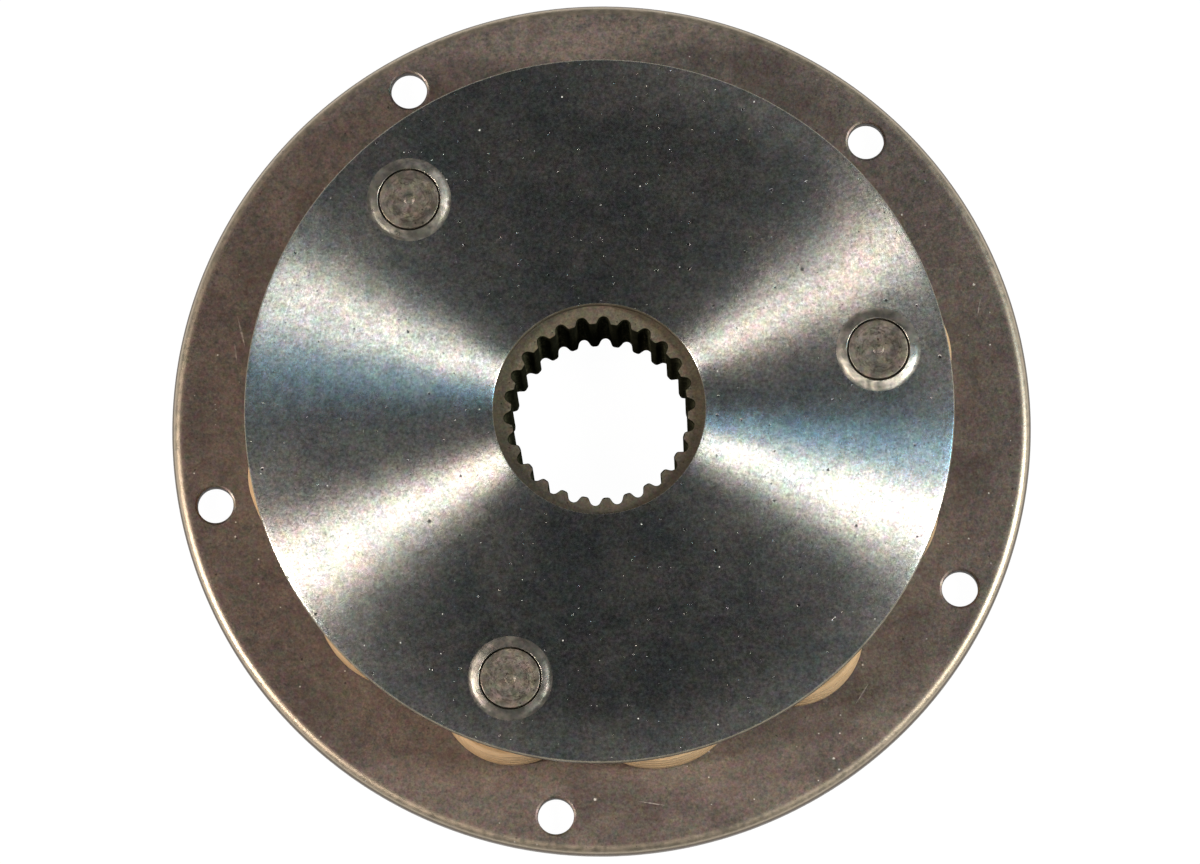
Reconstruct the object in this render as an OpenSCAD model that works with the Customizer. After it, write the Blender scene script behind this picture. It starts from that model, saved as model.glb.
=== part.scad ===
// Torsional coupling disc: a bolted flange plate drives a splined hub through a lobed polymer ring.
// The part lies on its hub's rear end, with the coupling's axis along +Z and the front disc on top.
// The flange plate, its rivets and their sleeves are one side of the coupling.
// The hub, the front disc, their rivets and sleeves are the other side, and turn against the first.

/* [Flange plate] */
// Outer diameter of the flange plate
flange_d = 200; // [190:1:230]
// Thickness of the flange plate
flange_t = 4; // [3.5:0.1:6]
// Radius of the flange's rounded front edge
flange_edge_r = 2.8; // [1:0.1:3]
// Diameter of the flange's central opening
flange_bore_d = 88; // [70:1:92]
// Number of flywheel bolt holes
bolt_count = 5; // [3:1:8]
// Distance from the flange's rim to the bolt holes' centres
bolt_inset = 8.5; // [7:0.1:10]
// Diameter of each bolt hole
bolt_hole_d = 8.4; // [6:0.1:9]
// Angle of the first bolt hole
bolt_angle = 47.5; // [0:0.5:71.5]

/* [Front disc] */
// Outer diameter of the front disc
disc_d = 163; // [158:1:176]
// Thickness of the front disc
disc_t = 4; // [3.5:0.1:6]
// Radius of the front disc's outer edge
disc_edge_r = 0.8; // [0.3:0.1:1.5]
// Diameter of the front disc's centre hole
disc_bore_d = 48.8; // [46:0.2:54]
// Width of the swollen collar of metal round each rivet head
swell_w = 2.6; // [1.5:0.1:3]
// Height of that collar above the disc's face, at the edge of the seat
swell_h = 0.7; // [0.2:0.05:0.8]
// How far a front rivet's flat head lies below the top of the collar
head_dip = 0.2; // [0.1:0.05:0.2]

/* [Splined hub] */
// Number of spline teeth
spline_teeth = 26; // [22:1:28]
// Diameter across the roots of the spline
spline_root_d = 44; // [42:0.2:45]
// Height of the spline teeth
spline_tooth_h = 1.9; // [1.4:0.1:2.2]
// Radius of the round root between two teeth
spline_root_r = 1.25; // [0.9:0.05:1.3]
// Outer diameter of the hub's barrel
hub_d = 56; // [52:1:60]
// How far the hub stands out behind the flange plate
hub_proud = 3.4; // [1:0.1:8]
// Thickness of the hub's three-armed flange
arm_t = 5; // [4.5:0.1:8]
// Radius of the arms' round ends
arm_end_r = 12.5; // [11:0.5:14]
// Distance from the axis to the hollow sides between the arms
arm_waist = 34; // [33:0.5:38]
// Radius of the hollow where the hub's barrel meets its flange
hub_fillet_r = 3; // [1:0.5:4]

/* [Polymer ring] */
// Thickness of the polymer ring
ring_t = 19; // [12:0.5:30]
// Radius of the round lobe at each sleeve
lobe_r = 17; // [15:0.1:18]
// Radius of the flatter lobe between two sleeves
link_r = 21; // [19:0.1:22]
// How far the flatter lobes reach from the axis
link_reach = 81.4; // [80:0.1:84]
// Radius of the rounded notch between two lobes
notch_r = 2.5; // [1.5:0.1:4]
// Diameter of the ring's opening
ring_bore_d = 84; // [78:1:88]
// Radius of the scallops in the opening, one in each link
scallop_r = 10; // [6:0.5:12]
// Number of moulded grooves round the ring's outer wall
groove_count = 3; // [1:1:5]
// Width of a moulded groove
groove_w = 0.8; // [0.4:0.1:1.5]
// Depth of a moulded groove
groove_depth = 0.4; // [0.2:0.05:0.8]

/* [Rivets, sleeves and washers] */
// Distance from the axis to each rivet
rivet_reach = 65.5; // [64:0.1:68]
// Angle of the first rivet in the front disc
rivet_angle = 12; // [0:0.5:59.5]
// Diameter of a rivet's shank
shank_d = 11; // [9:0.2:12]
// Diameter of a rivet's flat head
head_d = 13.6; // [13:0.1:15]
// Depth of the seat of a rivet's flat head
head_t = 2.6; // [2:0.1:3]
// Diameter of a rivet's formed end
formed_d = 16; // [15:0.5:18]
// Outer diameter of a sleeve
sleeve_d = 18; // [17:0.5:20]
// Outer diameter of a washer
washer_d = 18; // [17:0.5:19]
// Thickness of a washer
washer_t = 1.5; // [1:0.1:2]

/* [Clearances and travel] */
// How far the hub side turns each way before a rivet meets its window's end
travel = 6; // [2:0.5:8]
// Gap left round a sleeve and its washer in the window at the end of the travel
window_gap = 0.8; // [0.5:0.1:2]
// Gap round a rivet's shank in its hole
shank_gap = 0.1; // [0.05:0.05:0.3]
// Gap round a rivet's flat head in its seat
head_gap = 0.4; // [0.2:0.1:0.6]
// Depth of each rivet's rear end below the flange's rear face
rear_recess = 0.3; // [0.1:0.1:0.6]
// Gap between the front formed ends and the front disc
front_room = 1.3; // [0.8:0.1:2]
// Gap between the polymer ring and the steel on either side of it
face_gap = 0.4; // [0.3:0.1:1]
// Gap at the bond between the ring and each sleeve
bond_gap = 0.1; // [0.1:0.05:0.2]

/* [Hidden] */
$fn = 96;

// Small overshoot of a cutting tool past the face it cuts
over = 1;
// Three rivets hold each side of the coupling
rivet_count = 3;
rivet_step = 360 / rivet_count;

// Heights of the seats, from the hub's rear end upwards
flange_z = hub_proud;
flange_top = flange_z + flange_t;
ring_z = flange_top + face_gap;
sleeve_len = ring_t + 2 * face_gap;
arm_z = flange_top + sleeve_len;
disc_z = arm_z + arm_t;
disc_top = disc_z + disc_t;
head_proud = swell_h - head_dip;

// Fastener sizes that follow from the driving ones
shank_hole_r = shank_d / 2 + shank_gap;
head_seat_r = head_d / 2 + head_gap;
rear_formed_t = flange_t - washer_t - rear_recess;
front_formed_t = arm_t - washer_t - front_room;
sleeve_hole_r = sleeve_d / 2 + bond_gap;
window_r = max(washer_d, sleeve_d) / 2 + window_gap;

// Small edge breaks
bolt_break = 0.4;
bore_break = 0.3;
hub_break = 0.8;
spline_break = 0.5;
sleeve_break = 0.5;
formed_corner_r = 0.8;

steel_brown = [0.42, 0.38, 0.34];
zinc = [0.66, 0.70, 0.72];
hub_tan = [0.55, 0.50, 0.43];
rivet_grey = [0.50, 0.48, 0.45];
sleeve_grey = [0.60, 0.60, 0.58];
polymer_cream = [0.84, 0.72, 0.54];

function polar(r, a) = [r * cos(a), r * sin(a)];

// Points along a round arc about c, from angle a0 to angle a1 in n steps
function arc(c, r, a0, a1, n) = [for (i = [0:n]) c + polar(r, a0 + (a1 - a0) * i / n)];

// Angle of a vector, from 0 up to 360
function turn_of(v) = (atan2(v.y, v.x) + 360) % 360;

function turned(points, a) = [
    for (p = points) [p.x * cos(a) - p.y * sin(a), p.x * sin(a) + p.y * cos(a)]
];

// Places a copy at each rivet of one side: 0 is the hub's side, 1 is the flange's side
module at_rivet(side, i) {
    rotate(rivet_angle + side * rivet_step / 2 + i * rivet_step)
        translate([rivet_reach, 0, 0])
            children();
}

// Shank holes through a plate, one for each rivet of one side
module shank_holes(side, z, t) {
    for (i = [0:rivet_count - 1])
        at_rivet(side, i)
            translate([0, 0, z - over])
                cylinder(h = t + 2 * over, r = shank_hole_r);
}

// Cones that break both edges of a hole of radius r, in the faces at z0 and z1
module hole_breaks(r, broken, z0, z1) {
    for (face = [[z0, 1], [z1, 0]])
        translate([0, 0, face[0]])
            mirror([0, 0, face[1]])
                translate([0, 0, -broken - over])
                    cylinder(h = broken + 2 * over, r1 = r - over, r2 = r + broken + over);
}

// Flat plate with a centre hole and a round outer edge on its front face
module rounded_plate(r, bore_r, t, edge_r) {
    rotate_extrude($fn = 180) {
        translate([bore_r, 0])
            square([r - edge_r - bore_r, t]);
        translate([bore_r, 0])
            square([r - bore_r, t - edge_r]);
        intersection() {
            translate([r - edge_r, t - edge_r])
                circle(edge_r, $fn = 48);
            translate([bore_r, 0])
                square([r, t]);
        }
    }
}

// Curved slot on a circle about the axis, open over half_turn each way, with round ends.
// Its edge runs along the outer arc, round one end, back along the inner arc and round the other end.
slot_side_steps = 6;
slot_end_steps = 20;
module curved_slot(r, half_w, half_turn) {
    nip = 180 / slot_end_steps;
    near = polar(r, half_turn);
    far = polar(r, -half_turn);
    polygon(concat(
        arc([0, 0], r + half_w, -half_turn, half_turn, slot_side_steps),
        arc(near, half_w, half_turn + nip, half_turn + 180 - nip, slot_end_steps - 2),
        arc([0, 0], r - half_w, half_turn, -half_turn, slot_side_steps),
        arc(far, half_w, 180 - half_turn + nip, 360 - half_turn - nip, slot_end_steps - 2)
    ));
}

// Flange plate: bolt holes, seats for its own rivets, and windows for the hub's rivet ends
module flange_plate() {
    bolt_r = bolt_hole_d / 2;
    color(steel_brown)
        translate([0, 0, flange_z])
            difference() {
                rounded_plate(flange_d / 2, flange_bore_d / 2, flange_t, flange_edge_r);
                for (i = [0:bolt_count - 1])
                    rotate(bolt_angle + i * 360 / bolt_count)
                        translate([flange_d / 2 - bolt_inset, 0, 0]) {
                            translate([0, 0, -over])
                                cylinder(h = flange_t + 2 * over, r = bolt_r);
                            hole_breaks(bolt_r, bolt_break, 0, flange_t);
                        }
                hole_breaks(flange_bore_d / 2, bore_break, 0, flange_t);
                shank_holes(1, 0, flange_t);
                for (i = [0:rivet_count - 1])
                    at_rivet(1, i)
                        translate([0, 0, -over])
                            cylinder(h = head_t + over, r = head_seat_r);
                for (i = [0:rivet_count - 1])
                    rotate(rivet_angle + i * rivet_step)
                        translate([0, 0, -over])
                            linear_extrude(flange_t + 2 * over)
                                curved_slot(rivet_reach, window_r, travel);
            }
}

// Swollen metal round a rivet seat: highest at the seat's edge, it falls away in a round to the disc's face
module swell() {
    crown_r = (swell_w * swell_w + swell_h * swell_h) / (2 * swell_h);
    rotate_extrude($fn = 72)
        intersection() {
            translate([head_seat_r, swell_h - crown_r])
                circle(crown_r, $fn = 120);
            translate([head_seat_r - over, -over / 2])
                square([over + 2 * swell_w, over + swell_h]);
        }
}

// Front disc: centre hole, and a flat seat with a swollen collar for each of the hub's rivets
module front_disc() {
    color(zinc)
        translate([0, 0, disc_z])
            difference() {
                union() {
                    rounded_plate(disc_d / 2, disc_bore_d / 2, disc_t, disc_edge_r);
                    for (i = [0:rivet_count - 1])
                        at_rivet(0, i)
                            translate([0, 0, disc_t])
                                swell();
                }
                hole_breaks(disc_bore_d / 2, bore_break, 0, disc_t);
                shank_holes(0, 0, disc_t);
                for (i = [0:rivet_count - 1])
                    at_rivet(0, i)
                        translate([0, 0, disc_t - head_t])
                            cylinder(h = head_t + over, r = head_seat_r);
            }
}

// One space between two spline teeth, about the +X direction.
// Its root is a round arc, and straight flanks flare from it down to the teeth's tips.
spline_flare = 24;
spline_root_steps = 8;
spline_tip_break = 0.25;
function spline_space() =
    let (
        tip_r = spline_root_d / 2 - spline_tooth_h,
        c = [spline_root_d / 2 - spline_root_r, 0],
        top = 90 - spline_flare,
        touch = c + polar(spline_root_r, top),
        along = [-cos(spline_flare), sin(spline_flare)],
        down = touch * along,
        reach = -down - sqrt(down * down - touch * touch + tip_r * tip_r),
        low = touch + along * (reach - spline_tip_break),
        low_a = atan2(low.y, low.x) + spline_tip_break * 60 / tip_r,
        side = [low, polar(tip_r, low_a)]
    )
    concat(
        [for (p = [side[1], side[0]]) [p.x, -p.y]],
        arc(c, spline_root_r, -top, top, spline_root_steps),
        side
    );

// The whole toothed opening, seen along the axis
module spline_outline() {
    step = 360 / spline_teeth;
    // A space stands 4.4 degrees past the X axis, as the hub is indexed to its rivets
    first = 4.4;
    polygon([for (i = [0:spline_teeth - 1]) each turned(spline_space(), first + i * step)]);
}

// Outline of the hub's flange: three arms with round ends, joined by hollow sides.
// Each hollow side is one large arc that touches the arms' ends and passes the axis at the waist.
arm_end_steps = 24;
arm_side_steps = 12;
function arm_edge() =
    let (
        half = rivet_step / 2,
        end = [rivet_reach, 0],
        side_r = (arm_end_r * arm_end_r - arm_waist * arm_waist + arm_waist * rivet_reach
            - rivet_reach * rivet_reach) / (2 * arm_waist - rivet_reach - 2 * arm_end_r),
        c = polar(arm_waist + side_r, half),
        wrap = atan2(c.y - end.y, c.x - end.x),
        from = turn_of(end - c),
        to = turn_of(polar(rivet_reach, rivet_step) - c),
        nip = (to - from) / arm_side_steps
    )
    concat(
        arc(end, arm_end_r, -wrap, wrap, arm_end_steps),
        arc(c, side_r, from + nip, to - nip, arm_side_steps - 2)
    );

module arm_outline() {
    polygon([
        for (i = [0:rivet_count - 1])
            each turned(arm_edge(), rivet_angle + i * rivet_step)
    ]);
}

// Barrel of the hub, with a broken rear edge and a hollow under its flange
module hub_barrel() {
    r = hub_d / 2;
    rotate_extrude($fn = 120) {
        translate([0, hub_break])
            square([r, disc_z - hub_break]);
        polygon([[0, 0], [r - hub_break, 0], [r, hub_break], [0, hub_break]]);
        difference() {
            translate([r - over, arm_z - hub_fillet_r])
                square([hub_fillet_r + over, hub_fillet_r + over]);
            translate([r + hub_fillet_r, arm_z - hub_fillet_r])
                circle(hub_fillet_r, $fn = 48);
        }
    }
}

// Splined hub, forged in one with its three-armed flange
module splined_hub() {
    tip_r = spline_root_d / 2 - spline_tooth_h;
    color(hub_tan)
        difference() {
            union() {
                hub_barrel();
                translate([0, 0, arm_z])
                    linear_extrude(arm_t)
                        arm_outline();
            }
            translate([0, 0, -over])
                linear_extrude(disc_z + 2 * over)
                    spline_outline();
            hole_breaks(tip_r, spline_break, 0, disc_z);
            shank_holes(0, arm_z, arm_t);
        }
}

// One sixth of the polymer ring's outer edge, from a sleeve's lobe to the end of the next notch.
// The lobe and the link are round, and a small round notch touches both. inset moves all inwards.
lobe_steps = 14;
link_steps = 8;
notch_steps = 4;
function lobe_edge(inset) =
    let (
        half = rivet_step / 4,
        a = [rivet_reach, 0],
        b = polar(link_reach - link_r, half),
        ra = lobe_r - inset,
        rb = link_r - inset,
        rn = notch_r + inset,
        gap = norm(b - a),
        along = (gap * gap + (ra + rn) * (ra + rn) - (rb + rn) * (rb + rn)) / (2 * gap),
        up = sqrt((ra + rn) * (ra + rn) - along * along),
        u = (b - a) / gap,
        c = a + u * along + [u.y, -u.x] * up,
        lobe_a = atan2(c.y - a.y, c.x - a.x),
        link_a = half - atan2(c.y - b.y, c.x - b.x),
        to_lobe = turn_of(a - c),
        to_link = turn_of(b - c),
        notch = arc(c, rn, to_lobe, to_link, notch_steps),
        far_notch = [for (i = [notch_steps:-1:0]) turned([[notch[i].x, -notch[i].y]], 2 * half)[0]],
        lobe_end = lobe_a - 2 * lobe_a / lobe_steps,
        link_end = link_a - 2 * link_a / link_steps
    )
    concat(
        arc(a, ra, -lobe_end, lobe_end, lobe_steps - 2),
        notch,
        arc(b, rb, half - link_end, half + link_end, link_steps - 2),
        far_notch
    );

module ring_outline(inset) {
    sixth = rivet_step / 2;
    polygon([for (i = [0:2 * rivet_count - 1]) each turned(lobe_edge(inset), rivet_angle + i * sixth)]);
}

// Polymer ring: twelve lobes, moulded grooves round the outer wall, a scalloped opening and six sleeve holes
module flex_ring() {
    band = (ring_t - (groove_count + 2) * groove_w) / (groove_count + 1);
    color(polymer_cream)
        translate([0, 0, ring_z])
            difference() {
                union() {
                    linear_extrude(ring_t)
                        ring_outline(groove_depth);
                    for (i = [0:groove_count])
                        translate([0, 0, groove_w + i * (band + groove_w)])
                            linear_extrude(band)
                                ring_outline(0);
                }
                translate([0, 0, -over])
                    cylinder(h = ring_t + 2 * over, d = ring_bore_d);
                for (i = [0:2 * rivet_count - 1])
                    rotate(rivet_angle + (i + 0.5) * rivet_step / 2)
                        translate([ring_bore_d / 2, 0, -over])
                            cylinder(h = ring_t + 2 * over, r = scallop_r, $fn = 48);
                for (side = [0, 1])
                    for (i = [0:rivet_count - 1])
                        at_rivet(side, i)
                            translate([0, 0, -over])
                                cylinder(h = ring_t + 2 * over, r = sleeve_hole_r, $fn = 60);
            }
}

// Steel tube with broken outer edges, clamped between the flange and the hub's arm or a washer
module sleeve() {
    r = sleeve_d / 2;
    color(sleeve_grey)
        translate([0, 0, flange_top])
            rotate_extrude($fn = 60)
                polygon([
                    [shank_hole_r, 0], [r - sleeve_break, 0], [r, sleeve_break],
                    [r, sleeve_len - sleeve_break], [r - sleeve_break, sleeve_len], [shank_hole_r, sleeve_len]
                ]);
}

// Flat washer with its lower face at z
module washer(z) {
    color(sleeve_grey)
        translate([0, 0, z])
            difference() {
                cylinder(h = washer_t, d = washer_d, $fn = 60);
                translate([0, 0, -over])
                    cylinder(h = washer_t + 2 * over, r = shank_hole_r, $fn = 60);
            }
}

// Rivet standing on its flat head at z = 0: the grip is what it clamps, and the formed end closes it
module rivet(head_h, grip, formed_t) {
    corner = min(formed_corner_r, formed_t * 0.6);
    rotate_extrude($fn = 60) {
        square([head_d / 2, head_h]);
        translate([0, head_h - over])
            square([shank_d / 2, grip - head_h + over + formed_t / 2]);
        translate([0, grip])
            square([formed_d / 2, formed_t - corner]);
        translate([0, grip])
            square([formed_d / 2 - corner, formed_t]);
        translate([formed_d / 2 - corner, grip + formed_t - corner])
            circle(corner, $fn = 32);
    }
}

// Rivet of the hub's side: flat head in the front disc, formed end in the flange's window.
// The flat head has a small pip in its middle, left by the forming tool, with a flat top pip_d across.
pip_d = 1.6;
pip_h = 0.2;
module hub_rivet(i) {
    grip = head_proud + disc_t + arm_t + sleeve_len + washer_t;
    pip_root = pip_h + over;
    color(rivet_grey)
        at_rivet(0, i)
            translate([0, 0, disc_top + head_proud])
                mirror([0, 0, 1]) {
                    rivet(head_t + head_proud, grip, rear_formed_t);
                    translate([0, 0, -pip_h])
                        cylinder(h = pip_root, d1 = pip_d, d2 = pip_d + 2 * pip_root, $fn = 32);
                }
}

// Rivet of the flange's side: flat head sunk in the flange's rear face, formed end behind the front disc
module flange_rivet(i) {
    grip = flange_t - rear_recess + sleeve_len + washer_t;
    color(rivet_grey)
        at_rivet(1, i)
            translate([0, 0, flange_z + rear_recess])
                rivet(head_t - rear_recess, grip, front_formed_t);
}

module hub_sleeve(i) {
    at_rivet(0, i)
        sleeve();
}

module flange_sleeve(i) {
    at_rivet(1, i)
        sleeve();
}

module hub_washer(i) {
    at_rivet(0, i)
        washer(flange_top - washer_t);
}

module flange_washer(i) {
    at_rivet(1, i)
        washer(arm_z);
}

flange_plate();
flex_ring();
splined_hub();
front_disc();
for (i = [0:rivet_count - 1]) {
    hub_rivet(i);
    flange_rivet(i);
    hub_sleeve(i);
    flange_sleeve(i);
    hub_washer(i);
    flange_washer(i);
}
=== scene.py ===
import math
from functools import cached_property

import bpy
import numpy as np
from mathutils.geometry import delaunay_2d_cdt
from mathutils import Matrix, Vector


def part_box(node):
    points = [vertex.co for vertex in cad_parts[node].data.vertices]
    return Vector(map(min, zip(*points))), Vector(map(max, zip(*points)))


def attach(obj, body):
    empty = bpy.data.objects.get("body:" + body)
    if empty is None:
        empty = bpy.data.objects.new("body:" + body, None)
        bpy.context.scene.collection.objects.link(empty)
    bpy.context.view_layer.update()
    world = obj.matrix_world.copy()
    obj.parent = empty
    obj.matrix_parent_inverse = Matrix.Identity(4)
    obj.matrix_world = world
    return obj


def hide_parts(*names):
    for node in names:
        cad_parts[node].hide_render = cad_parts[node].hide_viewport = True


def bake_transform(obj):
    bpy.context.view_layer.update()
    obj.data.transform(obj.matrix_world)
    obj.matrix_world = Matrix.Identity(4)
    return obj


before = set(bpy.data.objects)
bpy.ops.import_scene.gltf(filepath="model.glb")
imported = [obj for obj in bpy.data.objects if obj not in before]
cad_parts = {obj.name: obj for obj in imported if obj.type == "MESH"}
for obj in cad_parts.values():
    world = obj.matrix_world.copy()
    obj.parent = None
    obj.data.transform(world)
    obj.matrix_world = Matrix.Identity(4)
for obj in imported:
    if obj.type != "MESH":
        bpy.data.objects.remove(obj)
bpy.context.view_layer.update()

MM = 0.001


def colour(red, green, blue):
    """A colour given as it shows on a screen, 0 to 255, turned into the linear value that a shader takes."""
    level = np.array([red, green, blue]) / 255
    linear = np.where(level < 0.04045, level / 12.92, ((level + 0.055) / 1.055) ** 2.4)
    return (*linear.tolist(), 1.0)


# Camera, as the photograph was taken: two metres up, looking almost straight down.

SENSOR_MM = 36
FOCAL_MM = 259.59
CAMERA_AT = (0.03084, -0.29561, 1.99834)
CAMERA_TURN = (0.146812, 0.015444, 0.001136)


def place_camera():
    lens = bpy.data.cameras.new("long_lens")
    lens.sensor_fit = "HORIZONTAL"
    lens.sensor_width = SENSOR_MM
    lens.lens = FOCAL_MM
    lens.clip_start, lens.clip_end = 0.05, 50
    camera = bpy.data.objects.new("camera", lens)
    camera.location = CAMERA_AT
    camera.rotation_euler = CAMERA_TURN
    bpy.context.collection.objects.link(camera)
    bpy.context.scene.camera = camera


place_camera()
bpy.context.scene.view_settings.view_transform = "Standard"


# Node trees. What is fed to a node is a number, a tuple or another node's output.

class Nodes:
    """A node tree, and short ways to add nodes to it."""

    def __init__(self, tree):
        self.tree = tree

    def feed(self, socket, value):
        if isinstance(value, bpy.types.NodeSocket):
            self.tree.links.new(value, socket)
        else:
            socket.default_value = value

    def node(self, kind, inputs=None, **settings):
        """A new node with these settings, and its inputs fed."""
        node = self.tree.nodes.new("ShaderNode" + kind)
        for setting, value in settings.items():
            setattr(node, setting, value)
        for socket, value in (inputs or {}).items():
            self.feed(node.inputs[socket], value)
        return node

    def add(self, kind, inputs=None, output=0, **settings):
        """One output of a new node."""
        return self.node(kind, inputs, **settings).outputs[output]

    def math(self, operation, a, b=0.0, clamp=False):
        return self.add("Math", {0: a, 1: b}, operation=operation, use_clamp=clamp)

    def spread(self, value, low, high, to_low=0.0, to_high=1.0):
        """value eased from low..high to to_low..to_high, and held at the ends."""
        inputs = {"Value": value, 1: low, 2: high, 3: to_low, 4: to_high}
        return self.add("MapRange", inputs, interpolation_type="SMOOTHSTEP")


class Finish(Nodes):
    """One node material. Values given with its name are set on its shader, with _ for a space."""

    def __init__(self, name, **constants):
        self.material = bpy.data.materials.new(name)
        self.material.use_nodes = True
        super().__init__(self.material.node_tree)
        self.shader = self.tree.nodes["Principled BSDF"]
        self.done(**constants)

    def done(self, **inputs):
        """Feeds the shader's inputs and gives the material."""
        for socket, value in inputs.items():
            self.feed(self.shader.inputs[socket.replace("_", " ")], value)
        return self.material

    @cached_property
    def place(self):
        """Object coordinates: metres from the coupling's axis and its rear face."""
        return self.add("TexCoord", output="Object")

    def along(self, axis):
        return self.add("SeparateXYZ", {0: self.place}, axis)

    def vector(self, operation, a, b=(0, 0, 0), output=0):
        return self.add("VectorMath", {0: a, 1: b}, output, operation=operation)

    def about(self, x=0.0, y=0.0):
        """(distance from the upright axis through x, y; unit direction away from it)."""
        plan = self.vector("MULTIPLY", self.vector("SUBTRACT", self.place, (x, y, 0)), (1, 1, 0))
        return self.vector("LENGTH", plan, output="Value"), self.vector("NORMALIZE", plan)

    def combed(self, outward):
        """The direction outward as the shader's tangent: it stretches light across marks that run round the axis."""
        settings = {"vector_type": "VECTOR", "convert_from": "OBJECT", "convert_to": "WORLD"}
        return self.add("VectorTransform", {0: outward}, **settings)

    def bump(self, amount, depth, under=None):
        inputs = {"Height": amount, "Distance": depth, "Strength": 1.0}
        if under is not None:
            inputs["Normal"] = under
        return self.add("Bump", inputs)

    # Patterns.

    def noise(self, size, detail=3, rough=0.55, at=None, stray=0.0):
        """Soft noise whose blotches are about size metres across."""
        inputs = {"Vector": at or self.place, "Scale": 1 / size, "Detail": detail, "Roughness": rough}
        return self.add("TexNoise", {**inputs, "Distortion": stray})

    def drawn(self, size, stretch, detail=3, rough=0.6):
        """Noise in coordinates times stretch: it is drawn out along an axis whose stretch is small."""
        return self.noise(size, detail, rough, at=self.vector("MULTIPLY", self.place, stretch))

    def rings(self, reach, outward, pitch, run):
        """Noise drawn out into rings: it changes over pitch metres of reach, and run times round each ring."""
        across = self.add("CombineXYZ", {"X": self.math("DIVIDE", reach, pitch)})
        round_it = self.vector("MULTIPLY", outward, (run, run, 0))
        upright = self.add("VectorRotate", {"Vector": round_it, "Angle": math.pi / 2}, rotation_type="Y_AXIS")
        return self.noise(1.0, 2, 0.6, at=self.vector("ADD", across, upright))

    def specks(self, size, radius, share, shift=0.0, plan=True):
        """1 inside small uneven specks, up to radius metres: one in each cell of size metres, kept in share of the
        cells. In plan, all cells reach the level faces, and none is drawn out down a wall."""
        wander = self.add("TexNoise", {"Vector": self.place, "Scale": 1.4 / radius, "Detail": 1}, "Color")
        wander = self.vector("MULTIPLY", self.vector("SUBTRACT", wander, (0.5,) * 3), (radius,) * 3)
        at = self.vector("ADD", self.vector("ADD", self.place, wander), (shift, shift * 0.7, 0))
        cell = self.node("TexVoronoi", {"Vector": at, "Scale": 1 / size}, voronoi_dimensions="2D" if plan else "3D")
        pick = self.node("SeparateColor", {0: cell.outputs["Color"]}).outputs
        reach = self.math("ADD", self.math("MULTIPLY", pick[1], 0.75), 0.35)
        away = self.math("DIVIDE", cell.outputs["Distance"], reach)
        near = self.spread(away, radius / size * 0.5, radius / size, 1.0, 0.0)
        near = self.math("MULTIPLY", near, self.math("LESS_THAN", pick[0], share))
        if not plan:
            return near
        tilt = self.add("SeparateXYZ", {0: self.add("TexCoord", output="Normal")}, "Z")
        return self.math("MULTIPLY", near, self.spread(self.math("ABSOLUTE", tilt), 0.6, 0.85))

    def scratch(self, x, y, turn, length, width):
        """1 on one straight scratch about x, y, along turn degrees, that thins out towards its ends."""
        at = self.vector("SUBTRACT", self.place, (x * MM, y * MM, 0))
        own = self.add("VectorRotate", {"Vector": at, "Angle": -math.radians(turn)}, rotation_type="Z_AXIS")
        own = self.node("SeparateXYZ", {0: own}).outputs
        thin = self.spread(self.math("ABSOLUTE", own["X"]), 0, length * MM / 2, width * MM, 0.0)
        worn = self.spread(self.noise(0.8 * MM, 2), 0.35, 0.6, 0.3, 1.0)
        return self.math("MULTIPLY", self.spread(self.math("ABSOLUTE", own["Y"]), 0, thin, 1.0, 0.0), worn)

    def scratches(self, lines):
        """1 on any of the scratches (x, y, turn, length, width), in millimetres and degrees."""
        total = 0.0
        for line in lines:
            total = self.math("MAXIMUM", total, self.scratch(*line))
        return total

    def level(self, pattern, least, most):
        """least where pattern is 0.3 or less, easing to most where it is 0.7 or more."""
        return self.spread(pattern, 0.3, 0.7, least, most)

    # Tones.

    def mix(self, amount, a, b, blend="MIX"):
        return self.add("Mix", {0: amount, 6: a, 7: b}, 2, data_type="RGBA", blend_type=blend)

    def between(self, pattern, dark, pale, low=0.3):
        """The colour dark where pattern is low or less, easing to the colour pale where it is 0.7 or more."""
        return self.mix(self.spread(pattern, low, 0.7), colour(*dark), colour(*pale))

    def laid(self, tone, cover, over, share=1.0):
        """tone with the colour over laid on it: by share where cover is 1, and not at all where it is 0."""
        if share < 1:
            cover = self.math("MULTIPLY", cover, share)
        return self.mix(cover, tone, colour(*over))

    def strayed(self, tone, size, amount, detail=5, rough=0.8):
        """tone with its light wandering by about the part amount of itself, from blotches of size metres down to
        grain."""
        swing = 8 * amount
        gain = self.math("ADD", self.math("MULTIPLY", self.noise(size, detail, rough), swing), 1 - swing / 2)
        return self.mix(1.0, tone, self.add("CombineColor", {0: gain, 1: gain, 2: gain}), "MULTIPLY")

    def tinted(self, tone, size, amount):
        """tone with red, green and blue each wandering by about the part amount, in blotches of size metres."""
        swing = 8 * amount
        inputs = {"Vector": self.place, "Scale": 1 / size, "Detail": 3, "Roughness": 0.7}
        three = self.vector("MULTIPLY", self.add("TexNoise", inputs, "Color"), (swing,) * 3)
        return self.mix(1.0, tone, self.vector("ADD", three, (1 - swing / 2,) * 3), "MULTIPLY")


# Sizes of steel pieces: millimetres, and turns in radians.

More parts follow.
